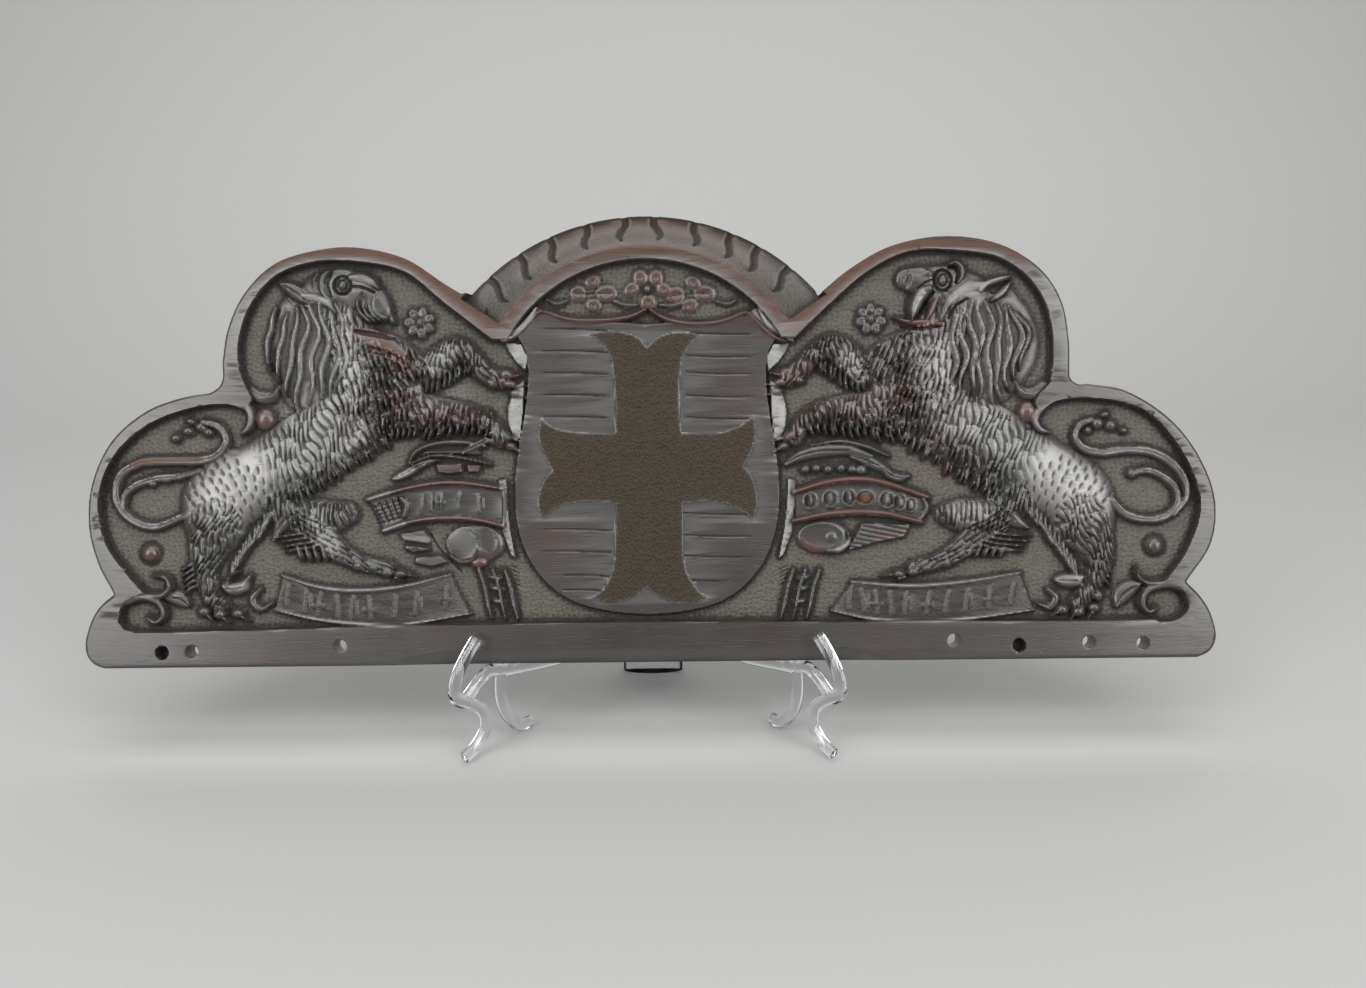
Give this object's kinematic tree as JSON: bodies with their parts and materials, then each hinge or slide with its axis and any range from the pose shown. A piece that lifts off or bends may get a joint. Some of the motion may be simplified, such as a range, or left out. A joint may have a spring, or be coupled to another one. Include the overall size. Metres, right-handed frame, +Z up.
{
  "type": "carved oak heraldic pediment",
  "caption": "Carved oak pediment with lobed outline, arched crest, cross moline shield and lion supporters, leaning on a clear plastic display easel.",
  "frame": {"origin": "centre of the footprint of the easel and board, on the surface they stand on", "axes": "+X along the board, +Y from the carved face to the back, +Z up"},
  "size_m": [0.5004, 0.1008, 0.2296],
  "materials": {
    "dark_oak": "old dark waxed oak, worn to orange brown at its edges",
    "clear_plastic": "clear glossy"
  },
  "bodies": {
    "root": {"pediment": "dark_oak", "easel": "clear_plastic"}
  },
  "joints": []
}
